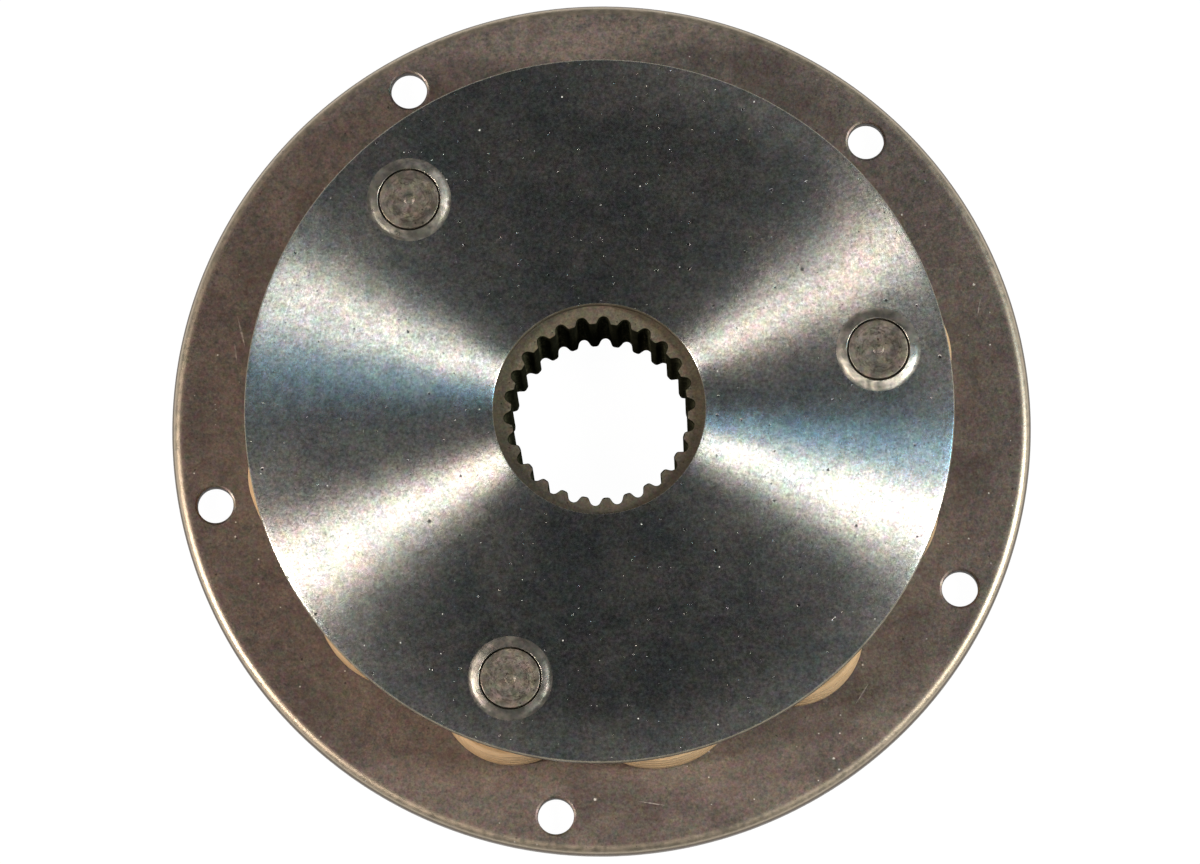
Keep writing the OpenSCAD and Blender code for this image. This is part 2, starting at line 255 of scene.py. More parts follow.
DISC_T = 4
DISC_BORE_R = 24.4
DISC_EDGE_R = 0.4
COLLAR_W = 2
COLLAR_SWEEP_R = 4
COLLAR_DROP = 0.2
FLANGE_R = 100
FLANGE_T = 4
FLANGE_EDGE_R = 2.1
FLANGE_BORE_R = 44
BOLT_REACH = 91.5
BOLT_HOLE_R = 4.2
BOLT_CHAMFER_W = 0.5
BOLT_CHAMFER_H = 0.22
BOLT_REAR_CHAMFER = 0.4
BOLT_TURNS = np.radians(47.5 + 72 * np.arange(5))
WINDOW_R = 9.8
WINDOW_TURN = math.radians(6)
SEAT_R = 7.2
SHANK_HOLE_R = 5.6
HEAD_R = 6.8
HEAD_SEAT_T = 2.6
HEAD_SUNK = 0.3
SHANK_R = 5.5
FORMED_R = 8
FORMED_T = 2.2
FORMED_EDGE_R = 0.8
PIP_R = 0.9
PIP_H = 0.2
DISH_R = 6
ARM_T = 5
ARM_END_R = 12.5
ARM_WAIST = 34
BARREL_R = 28
BARREL_SWEEP_R = 3
BARREL_END_R = 0.8
TEETH = 26
FIRST_SPACE = math.radians(4.4)
TOOTH_TIP_R = 20.1
TOOTH_FLARE = math.radians(24)
TIP_ROUND_R = 0.9
ROOT_REACH = 20.75
ROOT_ROUND_R = 1.25
SPLINE_LEAD = 0.25
SPLINE_LEDGE = 0.02
TEETH_CLEAR_R = 22.4
HUB_FACE_R = 24.3


# Finishes. A scratch is x, y, turn, length and width, in millimetres and degrees.

FLANGE_SCRATCHES = (
    (-83.9, 22.4, 104, 9, 0.42), (-85.2, 17.5, 97, 5, 0.3), (60.5, -62.5, 58, 7, 0.25), (12, -88, 171, 8, 0.24),
    (-46, 77, 40, 6, 0.24), (88, 28, 80, 5, 0.26),
)
DISC_SCRATCHES = (
    (51.2, -29.6, 128, 6, 0.3), (71.5, -14, 74, 8, 0.24), (34, -52.5, 20, 5, 0.22), (-58, -30, 112, 7, 0.22),
    (-22, 58, 38, 9, 0.22), (9, 70, 150, 6, 0.2), (-40, -58, 65, 6, 0.22),
)


def oiled_steel():
    """Brown oiled plate: blotches and tints over a strong fine grain, rub marks, stains, a few scratches and bright
    specks where the oil is off, and painted light that makes it paler towards +Y. The rounded edge is polished by
    rubbing and painted bright cream as a highlight, and painted shade darkens its foot."""
    f = Finish("oiled_steel", Metallic=0.85)
    reach = f.about()[0]
    blotch = f.noise(14 * MM, 4, 0.6, stray=0.4)
    grain = f.noise(0.55 * MM, 3, 0.7)
    fleck = f.noise(1.6 * MM, 3, 0.65)
    tone = f.between(blotch, (119, 107, 102), (147, 134, 123))
    tone = f.laid(tone, f.spread(f.noise(5 * MM, 3, 0.6), 0.45, 0.75, 0, 0.45), (124, 127, 112))
    tone = f.laid(tone, f.spread(fleck, 0.35, 0.7, 0, 0.45), (100, 88, 86))
    # Painted light: the plate is made paler towards +Y.
    tone = f.laid(tone, f.spread(f.along("Y"), 10 * MM, 96 * MM, 0, 0.2), (180, 168, 160))
    stain = f.math("MULTIPLY", f.spread(f.noise(26 * MM, 3, 0.6), 0.53, 0.68), f.spread(fleck, 0.4, 0.6, 0.3, 1))
    tone = f.laid(tone, stain, (72, 62, 60), 0.5)
    tone = f.tinted(f.strayed(tone, 2.5 * MM, 0.12), 1.6 * MM, 0.09)
    tone = f.strayed(tone, 0.75 * MM, 0.2, 2, 0.9)
    edge = f.spread(reach, (FLANGE_R - 2.6) * MM, (FLANGE_R - 1.3) * MM)
    # Painted shade: the foot of the rounded edge is darkened towards the outline.
    foot = f.spread(reach, (FLANGE_R - 0.65) * MM, (FLANGE_R - 0.25) * MM, 0, 0.85)
    # Partly real wear, partly painted highlight: the rounded edge is smoother and is also painted bright cream.
    rubbed_and_highlight = f.math("MULTIPLY", edge, f.spread(fleck, 0.3, 0.6, 0.75, 1))
    tone = f.laid(tone, rubbed_and_highlight, (224, 210, 184), 0.6)
    tone = f.laid(tone, foot, (70, 60, 54))
    tone = f.laid(tone, f.scratches(FLANGE_SCRATCHES), (214, 206, 196), 0.75)
    bright = f.math("MAXIMUM", f.specks(5 * MM, 0.26 * MM, 0.14), f.specks(11 * MM, 0.4 * MM, 0.12, 0.31))
    tone = f.laid(tone, bright, (244, 240, 230))
    pit = f.math("MAXIMUM", f.specks(5 * MM, 0.36 * MM, 0.16, 0.77), f.specks(2.3 * MM, 0.18 * MM, 0.16, 0.59))
    tone = f.laid(tone, pit, (48, 42, 40), 0.7)
    rough = f.math("SUBTRACT", f.level(fleck, 0.4, 0.56), f.math("MULTIPLY", rubbed_and_highlight, 0.1))
    normal = f.bump(f.noise(3 * MM, 3, 0.6), 0.03 * MM, f.bump(grain, 0.03 * MM))
    return f.done(Base_Color=tone, Roughness=rough, Normal=normal)


def hole_wall():
    """Drilled and punched walls with faint marks along the axis; their dark tone is painted shade."""
    f = Finish("hole_wall", Metallic=0.3, Specular_IOR_Level=0.2)
    drag = f.drawn(0.5 * MM, (1, 1, 0.15))
    # The dark tone is painted shade inside the holes.
    tone = f.between(drag, (40, 34, 30), (84, 74, 64))
    return f.done(Base_Color=tone, Roughness=f.level(drag, 0.5, 0.65), Normal=f.bump(drag, 0.03 * MM))


def turned_zinc():
    """Zinc-plated face turned on a lathe. Light is stretched across the turning marks, over a strong fine grain, dull
    stains, pale tints, dark pits, a few short scratches and specks of dust. It is worn towards the rim."""
    f = Finish("turned_zinc", Anisotropic=1.0)
    reach, outward = f.about()
    grain = f.noise(0.55 * MM, 3, 0.75)
    cloud = f.noise(17 * MM, 4, 0.62, stray=0.3)
    film = f.spread(f.noise(11 * MM, 5, 0.75, stray=0.3), 0.45, 0.7)
    tone = f.between(cloud, (173, 182, 183), (208, 206, 202))
    tone = f.laid(tone, film, (190, 188, 180), 0.5)
    tone = f.strayed(tone, 6 * MM, 0.17, 6, 0.85)
    tone = f.strayed(tone, 0.75 * MM, 0.2, 2, 0.9)
    tone = f.tinted(tone, 1.8 * MM, 0.08)
    tone = f.laid(tone, f.scratches(DISC_SCRATCHES), (96, 100, 102), 0.7)
    pit = f.math("MAXIMUM", f.specks(6.5 * MM, 0.42 * MM, 0.24, 0.13), f.specks(2.6 * MM, 0.2 * MM, 0.22, 0.53))
    tone = f.laid(tone, pit, (38, 40, 44), 0.9)
    dust = f.specks(9 * MM, 0.24 * MM, 0.2, 0.37)
    tone = f.laid(tone, dust, (236, 238, 232))
    side = f.math("SUBTRACT", f.along("X"), f.along("Y"))
    worn = f.math("MULTIPLY", f.spread(reach, 66 * MM, 81 * MM, 0, 0.07), f.spread(side, -110 * MM, -40 * MM))
    dull = f.math("ADD", f.math("MULTIPLY", film, 0.02), worn)
    dull = f.math("ADD", dull, f.spread(f.noise(1.0 * MM, 3, 0.9), 0.32, 0.68, 0, 0.032))
    metal = f.math("SUBTRACT", f.math("SUBTRACT", 1.0, dull), dust, clamp=True)
    rough = f.math("ADD", f.spread(grain, 0.3, 0.75, 0.25, 0.31), f.math("MULTIPLY", film, 0.02))
    normal = f.bump(f.rings(reach, outward, 0.35 * MM, 6), 0.02 * MM)
    normal = f.bump(grain, 0.008 * MM, normal)
    normal = f.bump(pit, -0.03 * MM, normal)
    return f.done(Base_Color=tone, Metallic=metal, Roughness=rough, Normal=normal, Tangent=f.combed(outward))


def zinc_edge(top):
    """The disc's rim and bore: the same plating, tan near the face where it has been handled; lower down, painted
    shade darkens the wall to the rear."""
    f = Finish("zinc_edge", Metallic=0.8)
    blotch = f.noise(3 * MM, 3, 0.6)
    grain = f.noise(0.4 * MM, 2, 0.6)
    tone = f.between(blotch, (134, 128, 110), (166, 158, 138))
    tone = f.laid(tone, f.spread(grain, 0.4, 0.7, 0, 0.5), (104, 98, 82))
    # Painted shade: the wall darkens from just under the face down to the rear, along a wavering line.
    waver = f.math("MULTIPLY", f.math("SUBTRACT", grain, 0.5), 1.2 * MM)
    below = f.spread(f.math("ADD", f.along("Z"), waver), top - 3.6 * MM, top - 0.7 * MM, 1.0, 0.0)
    tone = f.laid(tone, below, (58, 48, 38), 0.92)
    return f.done(Base_Color=tone, Roughness=f.level(blotch, 0.42, 0.55), Normal=f.bump(grain, 0.01 * MM))


def pressed_zinc():
    """The metal pushed up round each rivet: plated, its turning marks half pressed away."""
    f = Finish("pressed_zinc", Metallic=0.93, Anisotropic=0.6)
    outward = f.about()[1]
    grain = f.noise(0.45 * MM, 3, 0.7)
    blotch = f.noise(2.6 * MM, 3, 0.6, stray=0.4)
    tone = f.between(blotch, (170, 168, 158), (210, 204, 192))
    tone = f.tinted(f.strayed(tone, 1.6 * MM, 0.1), 1.6 * MM, 0.05)
    normal = f.bump(blotch, 0.03 * MM, f.bump(grain, 0.014 * MM))
    rough = f.level(blotch, 0.27, 0.36)
    return f.done(Base_Color=tone, Roughness=rough, Normal=normal, Tangent=f.combed(outward))


def ground_ring():
    """The hub's front face: tan ground steel with a fine grain, darker towards -Y, and pitted near the
    teeth."""
    f = Finish("ground_ring", Metallic=0.75, Roughness=0.5)
    reach, outward = f.about()
    grain = f.noise(0.5 * MM, 3, 0.7)
    tone = f.between(f.noise(4 * MM, 3, 0.6), (122, 115, 98), (138, 128, 109))
    tone = f.laid(tone, f.spread(f.noise(2.4 * MM, 2, 0.6), 0.5, 0.75, 0, 0.4), (124, 126, 100))
    tone = f.laid(tone, f.spread(grain, 0.35, 0.7, 0, 0.5), (90, 83, 72))
    # Darker towards -Y.
    tone = f.laid(tone, f.spread(f.along("Y"), -17 * MM, 4 * MM, 0.6, 0.0), (92, 86, 78))
    tone = f.tinted(f.strayed(tone, 1.2 * MM, 0.09), 1.3 * MM, 0.09)
    tone = f.strayed(tone, 0.6 * MM, 0.14, 2, 0.9)
    near_teeth = f.spread(reach, TEETH_CLEAR_R * MM, (TEETH_CLEAR_R + 0.8) * MM, 1.0, 0.25)
    tone = f.laid(tone, f.math("MULTIPLY", f.specks(1.9 * MM, 0.24 * MM, 0.35), near_teeth), (56, 48, 42))
    normal = f.bump(grain, 0.02 * MM, f.bump(f.rings(reach, outward, 0.3 * MM, 4), 0.01 * MM))
    return f.done(Base_Color=tone, Normal=normal)


def oily_teeth(top):
    """Broached teeth: oily dark olive, paler in the roots, with drag marks along the axis. Painted shade makes them
    near black at their tips and at the mouth."""
    f = Finish("oily_teeth", Metallic=0.0, Specular_IOR_Level=0.0)
    drag = f.drawn(0.5 * MM, (1, 1, 0.1))
    blotch = f.noise(1.6 * MM, 3, 0.6)
    tone = f.between(blotch, (44, 48, 36), (72, 73, 54), low=0.35)
    tone = f.laid(tone, f.spread(drag, 0.45, 0.75, 0, 0.6), (112, 110, 88))
    # Painted shade: near black at the tooth tips.
    tips = f.spread(f.about()[0], (TOOTH_TIP_R + 0.5) * MM, (TOOTH_TIP_R + 2.1) * MM, 0.8, 0.0)
    tone = f.laid(tone, tips, (26, 27, 20))
    # Painted shade: darker at the mouth of the bore, just under the front face.
    mouth = f.spread(f.along("Z"), top - 2.2 * MM, top - 0.5 * MM)
    tone = f.laid(tone, mouth, (22, 24, 16), 0.7)
    return f.done(Base_Color=tone, Roughness=f.level(blotch, 0.6, 0.75), Normal=f.bump(drag, 0.03 * MM))


def forging_skin():
    """The hub's barrel and arms: brown scale with a fine grain and a few rub marks."""
    f = Finish("forging_skin", Metallic=0.7)
    grain = f.noise(0.6 * MM, 3, 0.7)
    blotch = f.noise(5 * MM, 3, 0.6)
    tone = f.between(blotch, (104, 96, 86), (136, 124, 108))
    tone = f.laid(tone, f.spread(grain, 0.35, 0.7, 0, 0.45), (72, 66, 60))
    normal = f.bump(blotch, 0.06 * MM, f.bump(grain, 0.03 * MM))
    return f.done(Base_Color=tone, Roughness=f.level(blotch, 0.45, 0.62), Normal=normal)


def pressed_rivet(name, x, y):
    """Rivet steel round its own axis: a flat head with faint rings in its dish, and small pits from the press."""
    f = Finish(name, Metallic=0.9)
    reach, outward = f.about(x, y)
    grain = f.noise(0.45 * MM, 3, 0.7)
    blotch = f.noise(2.4 * MM, 4, 0.65, stray=0.5)
    rings = f.rings(reach, outward, 0.55 * MM, 3)
    tone = f.between(blotch, (138, 131, 119), (168, 160, 147))
    tone = f.laid(tone, f.spread(grain, 0.4, 0.72, 0, 0.5), (102, 95, 86))
    tone = f.tinted(f.strayed(tone, 2.2 * MM, 0.1, 4, 0.6), 2.2 * MM, 0.08)
    worn = f.math("MULTIPLY", f.spread(rings, 0.5, 0.62), f.spread(reach, 2 * MM, 4 * MM))
    worn = f.math("MULTIPLY", worn, f.spread(reach, (DISH_R - 0.8) * MM, (DISH_R + 0.2) * MM, 1.0, 0.0))
    tone = f.laid(tone, worn, (84, 74, 66), 0.55)
    tone = f.laid(tone, f.specks(1.6 * MM, 0.34 * MM, 0.32, shift=x), (60, 52, 46), 0.7)
    normal = f.bump(grain, 0.02 * MM, f.bump(rings, 0.02 * MM))
    return f.done(Base_Color=tone, Roughness=f.level(blotch, 0.36, 0.5), Normal=normal)


def plated_tube():
    """Sleeves and washers: dull plated steel with drawing marks along the axis."""
    f = Finish("plated_tube", Metallic=1.0)
    drag = f.drawn(0.5 * MM, (1, 1, 0.06), detail=2)
    tone = f.between(f.noise(4 * MM, 3, 0.6), (150, 150, 146), (182, 180, 172))
    tone = f.laid(tone, f.spread(drag, 0.4, 0.7, 0, 0.4), (112, 110, 106))
    return f.done(Base_Color=tone, Roughness=f.level(drag, 0.3, 0.42), Normal=f.bump(drag, 0.012 * MM))


def cream_polymer():
    """Cast polymer: warm cream with slow colour drift, faint flow lines, small dirt and a satin skin."""
    f = Finish("cream_polymer", Metallic=0.0, Specular_IOR_Level=0.42, Subsurface_Weight=0.08, Subsurface_Scale=1.0,
               Subsurface_Radius=(1.6 * MM, 1.0 * MM, 0.6 * MM))
    flow = f.drawn(0.8 * MM, (0.25, 0.25, 1), detail=2, rough=0.55)
    grain = f.noise(0.4 * MM, 2, 0.6)
    tone = f.between(f.noise(20 * MM, 3, 0.5), (204, 170, 126), (214, 184, 142))
    tone = f.laid(tone, f.spread(flow, 0.42, 0.7, 0, 0.35), (186, 150, 106))
    tone = f.laid(tone, f.specks(5 * MM, 0.3 * MM, 0.2, plan=False), (104, 80, 56), 0.5)
    normal = f.bump(grain, 0.012 * MM, f.bump(flow, 0.03 * MM))
    return f.done(Base_Color=tone, Roughness=f.level(flow, 0.38, 0.5), Normal=normal)


# Sleeves and washers keep their solids' meshes.

def dress(node, material):
    """Gives a solid's own material slots this finish."""
    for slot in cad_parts[node].material_slots:
        slot.material = material


tube = plated_tube()
for side in ("hub", "flange"):
    for number in (1, 2, 3):
        dress(f"{side}_sleeve_{number}", tube)
        dress(f"{side}_washer_{number}", tube)


# Outlines in plan are pairs, in metres: points, and unit normals that point out of the material.

def polar(reach, angle):
    return np.stack([reach * np.cos(angle), reach * np.sin(angle)], -1)


def turn_of(v):
    return math.atan2(v[1], v[0])


def unit(v):
    return v / np.hypot(*v)


def turning(angle):
    """The matrix that turns rows (x, y) by angle, as row times matrix."""
    return np.array([[math.cos(angle), math.sin(angle)], [-math.sin(angle), math.cos(angle)]])


def turned(outline, angle):
    return outline[0] @ turning(angle), outline[1] @ turning(angle)


def mirrored(outline, about):
    """The same run seen in a mirror along the direction about, in reverse order."""
    flip = np.array([[math.cos(2 * about), math.sin(2 * about)], [math.sin(2 * about), -math.cos(2 * about)]])
    return outline[0][::-1] @ flip, outline[1][::-1] @ flip


def joined(*runs, shared=0):
    """Runs end to end. With shared 1, each starts on the last point of the run before, which is kept once."""
    return tuple(np.concatenate([runs[0][part]] + [run[part][shared:] for run in runs[1:]]) for part in (0, 1))


def arc(centre, radius, start, end, steps, swells=True):
    """centre + radius (cos a, sin a), with a from start to end. A hollow arc's normals point to its centre."""
    away = polar(1.0, np.linspace(start, end, steps))
    return centre + radius * away, away if swells else -away


def rim(x, y, radius, steps):
    """Anticlockwise round a rim: the metal is inside it."""
    return arc(np.array([x, y]), radius, 0, math.tau * (1 - 1 / steps), steps)


def hole(x, y, radius, steps):
    """Clockwise round a hole: the metal is outside it."""
    return arc(np.array([x, y]), radius, math.tau * (1 - 1 / steps), 0, steps, swells=False)


def meeting(a, reach_a, b, reach_b, side):
    """The point reach_a from a and reach_b from b, on the left of a to b where side is 1 and on the right where it is
    -1: a + u (d^2 + reach_a^2 - reach_b^2) / 2d + side n sqrt(reach_a^2 - along^2)."""
    gap = b - a
    d = np.hypot(*gap)
    u = gap / d
    along = (d * d + reach_a * reach_a - reach_b * reach_b) / (2 * d)
    return a + u * along + side * np.array([-u[1], u[0]]) * math.sqrt(reach_a ** 2 - along ** 2)


def raised(plan, levels):
    """A grid of points from a plan (row, point, xy) and the level of each row."""
    return np.concatenate([plan, np.broadcast_to(levels[:, None, None], (*plan.shape[:2], 1))], -1)


# Profiles are in millimetres.

CORNER_STEPS = 6
FACE_MARGIN = 0.9


def rounded(*corners, steps=CORNER_STEPS):
    """A line through corners (x, y, radius). A corner P with radius r becomes an arc about P + b r / sin(h), where b
    halves the corner and h is half its angle; the arc starts and ends r / tan(h) from P."""
    corners = np.array([(*corner, 0)[:3] for corner in corners], float)
    runs = [corners[:1, :2]]
    for before, corner, after in zip(corners, corners[1:], corners[2:]):
        at, radius = corner[:2], corner[2]
        back, ahead = unit(before[:2] - at), unit(after[:2] - at)
        half = math.acos(back @ ahead) / 2
        middle = at + unit(back + ahead) * radius / math.sin(half)
        start = turn_of(at + back * radius / math.tan(half) - middle)
        sweep = turn_of(at + ahead * radius / math.tan(half) - middle) - start
        sweep = (sweep + math.pi) % math.tau - math.pi
        runs.append(arc(middle, radius, start, start + sweep, steps)[0])
    runs.append(corners[-1:, :2])
    return np.concatenate(runs)


def drop(top, bottom, top_r, bottom_r, over=FACE_MARGIN, under=FACE_MARGIN):
    """A profile straight down, with both corners rounded. It begins over in from the corner on the upper face, and
    ends under in from the corner on the lower face."""
    return (over, top), (0, top, top_r), (0, bottom, bottom_r), (under, bottom)


def wall(outline, foot, *profile):
    """A profile of corners (inset, height, radius) carried round an outline: a point p with normal n becomes
    p - inset n, at foot + height. Its rows run from the top down."""
    inset, height = rounded(*profile).T * MM
    points, normals = outline
    return raised(points - inset[:, None, None] * normals, foot + height)


def half_round(corner):
    """The number of the band that lies half way round a profile's rounded corner, counted from 1."""
    return CORNER_STEPS * corner - CORNER_STEPS // 2


def banded(grid, start, stop, inner):
    """The material number of each band of a wall: inner from start up to stop, 0 elsewhere."""
    kinds = np.zeros(len(grid) - 1, int)
    kinds[start:stop] = inner
    return kinds


# Pieces: walls, and flats between their first or last rows.

SHARP_TURN = 0.6
TOP, BOTTOM = 0, -1
UP, DOWN = 1, -1
FACES = (TOP, UP), (BOTTOM, DOWN)


def make_piece(name, points, faces, materials, kinds=None):
    """A piece at the origin. kinds gives each face the number of its material."""
    mesh = bpy.data.meshes.new(name)
    mesh.from_pydata(points.tolist(), [], faces)
    mesh.validate()
    for material in materials:
        mesh.materials.append(material)
    if kinds is not None:
        mesh.polygons.foreach_set("material_index", kinds)
    mesh.shade_smooth()
    mesh.set_sharp_from_angle(angle=SHARP_TURN)
    piece = bpy.data.objects.new(name, mesh)
    bpy.context.collection.objects.link(piece)
    return piece


def inside(points, starts, ends):
    """True where a line from a point towards +X crosses the edges an odd number of times."""
    x, y = points[:, :1], points[:, 1:]
    rise = ends[:, 1] - starts[:, 1]
    crosses = (starts[:, 1] > y) != (ends[:, 1] > y)
    at = starts[:, 0] + (y - starts[:, 1]) * (ends[:, 0] - starts[:, 0]) / np.where(rise == 0, 1, rise)
    return (crosses & (at > x)).sum(1) % 2 == 1


def flat(points, rows, facing):
    """Triangles of the plane between closed rows of points, kept where their middle is inside an odd number of
    rows."""
    index = np.concatenate(rows)
    first = np.cumsum([0] + [len(row) for row in rows[:-1]])
    after = np.concatenate([start + np.roll(np.arange(len(row)), -1) for start, row in zip(first, rows)])
    edges = np.stack([np.arange(len(index)), after], -1)
    plan = points[index, :2] / MM
    corners, _, found, *_ = delaunay_2d_cdt(plan.tolist(), edges.tolist(), [], 1, 1e-6)
    assert len(corners) == len(index)
    found = np.array(found)
    kept = found[inside(plan[found].mean(1), plan, plan[after])]
    return index[kept[:, ::facing]]


def closed_piece(name, walls, flats, materials):
    """A piece of walls (grid of points, material of each band) and flats (the (wall, row) that it spans, UP or DOWN,
    material). A flat with one row is a single face."""
    points = np.concatenate([grid.reshape(-1, 3) for grid, _ in walls])
    index, faces, kinds, first = [], [], [], 0
    for grid, kind in walls:
        rows = first + np.arange(grid[..., 0].size).reshape(grid.shape[:2])
        first += rows.size
        index.append(rows)
        beside = np.roll(rows, -1, 1)
        quads = np.stack([rows[:-1], rows[1:], beside[1:], beside[:-1]], -1)
        faces += quads.reshape(-1, 4).tolist()
        kinds.append(np.repeat(np.broadcast_to(kind, len(rows) - 1), rows.shape[1]))
    for edges, facing, kind in flats:
        rows = [index[number][row] for number, row in edges]
        fill = [rows[0][::facing].tolist()] if len(rows) == 1 else flat(points, rows, facing).tolist()
        faces += fill
        kinds.append(np.full(len(fill), kind))
    return make_piece(name, points, faces, materials, np.concatenate(kinds).astype(np.int32))


def both_faces(walls, kind=0):
    """A flat across the top rows of all walls, and one across their bottom rows."""
    return [([(number, row) for number in range(len(walls))], facing, kind) for row, facing in FACES]


def centre_of(node):
    low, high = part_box(node)
    return (low + high) / 2


def fit(piece, body, node):
    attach(piece, body)
    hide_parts(node)


# Polymer ring: six segments, each from one sleeve's middle to the next.

SLEEVES = [f"{side}_sleeve_{i}" for i in (1, 2, 3) for side in ("hub", "flange")]
SEGMENT_STEP = math.radians(60)
LOBE_R = 17 * MM
LINK_R = 21 * MM
LINK_REACH = 81.4 * MM
NOTCH_R = 2.5 * MM
BORE_R = 42 * MM
SCALLOP_R = 10 * MM
SCALLOP_CORNER_R = 2 * MM
HOLE_R = 9.1 * MM
EDGE_R = 0.8 * MM
EDGE_ROWS = EDGE_R * np.array([0, 0.03, 0.12, 0.27, 0.46, 0.7, 1.0])
ROW_PITCH = 0.2 * MM
GROOVES = 5
GROOVE_DEPTH = 0.4 * MM
GROOVE_W = 0.42 * MM
GROOVE_FROM_FACE = 0.4 * MM
MOULD_LINE_H = 0.14 * MM
MOULD_LINE_W = 0.12 * MM
INNER_EDGE_PART = 0.5


def segment_outline(reach):
    """One segment in plan, its first sleeve at (reach, 0): (points, outward normals, 1 on the outer wall and 0
    elsewhere). Each wall is arcs that touch, up to the middle of the segment, and then the same in a mirror."""
    half = SEGMENT_STEP / 2
    axis = np.zeros(2)
    sleeve = np.array([reach, 0.0])
    link = polar(LINK_REACH - LINK_R, half)
    notch = meeting(sleeve, LOBE_R + NOTCH_R, link, LINK_R + NOTCH_R, -1)
    lobe = arc(sleeve, LOBE_R, 0, turn_of(notch - sleeve), steps=22)
    to_lobe, to_link = turn_of(sleeve - notch) % math.tau, turn_of(link - notch) % math.tau
    hollow = arc(notch, NOTCH_R, to_lobe, to_link, steps=9, swells=False)
    swell = arc(link, LINK_R, turn_of(notch - link), half, steps=22)
    outer = joined(lobe, hollow, swell, shared=1)
    outer = joined(outer, mirrored(outer, half), shared=1)

    scallop = polar(BORE_R, half)
    corner = meeting(axis, BORE_R + SCALLOP_CORNER_R, scallop, SCALLOP_R + SCALLOP_CORNER_R, -1)
    bore = arc(axis, BORE_R, 0, turn_of(corner), steps=8, swells=False)
    nose = arc(corner, SCALLOP_CORNER_R, turn_of(-corner), turn_of(scallop - corner), steps=7)
    cut = arc(scallop, SCALLOP_R, turn_of(corner - scallop), half, steps=20, swells=False)
    inner = joined(bore, nose, cut, shared=1)
    inner = joined(inner, mirrored(inner, half), shared=1)

    near_hole = arc(sleeve, HOLE_R, math.pi, 0, steps=25, swells=False)
    back = inner[0][::-1], inner[1][::-1]
    points, normals = joined(near_hole, outer, mirrored(near_hole, half), back)
    outside = np.zeros(len(points))
    outside[len(near_hole[0]):len(near_hole[0]) + len(outer[0])] = 1
    return points, normals, outside


def ring_profile(height):
    """(heights, edge rounding, groove depth) up the ring's wall. An end h from the face is drawn in by
    R - sqrt(R^2 - (R - h)^2), each groove by G exp(-((z - z_k) / w)^4), and the mould line at half height stands out
    by H exp(-((z - z_m) / v)^2)."""
    between = np.arange(EDGE_R + ROW_PITCH, height - EDGE_R - ROW_PITCH / 2, ROW_PITCH)
    z = np.concatenate([EDGE_ROWS, between, (height - EDGE_ROWS)[::-1]])
    end = np.minimum(np.minimum(z, height - z), EDGE_R)
    edge = EDGE_R - np.sqrt(EDGE_R ** 2 - (EDGE_R - end) ** 2)
    middles = np.linspace(GROOVE_FROM_FACE, height - GROOVE_FROM_FACE, GROOVES)
    groove = GROOVE_DEPTH * np.exp(-(((z[:, None] - middles) / GROOVE_W) ** 4)).sum(1)
    mould_line = MOULD_LINE_H * np.exp(-(((z - height / 2) / MOULD_LINE_W) ** 2))
    return z, edge, np.minimum(groove, GROOVE_DEPTH) - mould_line


def ring_segment(name, start, reach, foot, height, material):
    """The outline carried up the wall profile: each point is drawn in along its own normal by edge + groove. Grooves
    are on the outer wall only, and the other walls' edges are rounded half as much."""
    points, normals, outside = segment_outline(reach)
    z, edge, groove = ring_profile(height)
    drawn_in = edge[:, None] * np.where(outside > 0, 1.0, INNER_EDGE_PART) + groove[:, None] * outside
    plan = (points - drawn_in[..., None] * normals) @ turning(start)
    walls = [(raised(plan, foot + z)[::-1], 0)]
    return closed_piece(name, walls, both_faces(walls), [material])


def make_ring():
    low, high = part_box("flex_ring")
    polymer = cream_polymer()
    middles = [centre_of(name) for name in SLEEVES]
    for i, name in enumerate(SLEEVES):
        here, there = middles[i], middles[(i + 1) % 6]
        reach = math.hypot(here.x, here.y)
        start = math.atan2(here.y, here.x)
        piece = ring_segment(f"ring_segment_{i + 1}", start, reach, low.z, high.z - low.z, polymer)
        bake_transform(piece)
        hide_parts("flex_ring")


make_ring()


# Steel pieces. A wall's first and last corners lie on the faces, where a flat takes over.

def make_front_disc():
    """Round plate with a rounded rim and a plain bore. At each rivet a collar falls from the seat's edge to the
    face."""
    low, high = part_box("front_disc")
    # handled is the rim and bore finish: tan plating, with painted shade lower down the wall.
    plated, handled, pressed = range(3)
    edge = wall(rim(0, 0, (high.x - low.x) / 2, steps=480), low.z, *drop(DISC_T, 0, DISC_EDGE_R, 0.25, 1.8, 0.8))
    bore = wall(hole(0, 0, DISC_BORE_R * MM, steps=256), low.z, *drop(DISC_T, 0, 0.2, 0.3))
    walls = [(grid, banded(grid, half_round(1), None, handled)) for grid in (edge, bore)]
    collar_top = (high.z - low.z) / MM - COLLAR_DROP
    seat_z = DISC_T - HEAD_SEAT_T
    shank = SHANK_HOLE_R - SEAT_R
    for i in (1, 2, 3):
        axis = centre_of(f"hub_rivet_{i}")
        seat = wall(hole(axis.x, axis.y, SEAT_R * MM, steps=144), low.z, (COLLAR_W + FACE_MARGIN, DISC_T),
                    (COLLAR_W, DISC_T, COLLAR_SWEEP_R), (0, collar_top, 0.15), (0, seat_z, 0.15),
                    (shank, seat_z, 0.15), (shank, 0, 0.2), (shank + 0.5, 0))
        walls.append((seat, banded(seat, 1, None, pressed)))
    finishes = [turned_zinc(), zinc_edge(low.z + DISC_T * MM), pressed_zinc()]
    piece = closed_piece("disc_shell", walls, both_faces(walls, plated), finishes)
    fit(piece, "hub_side", "front_disc")


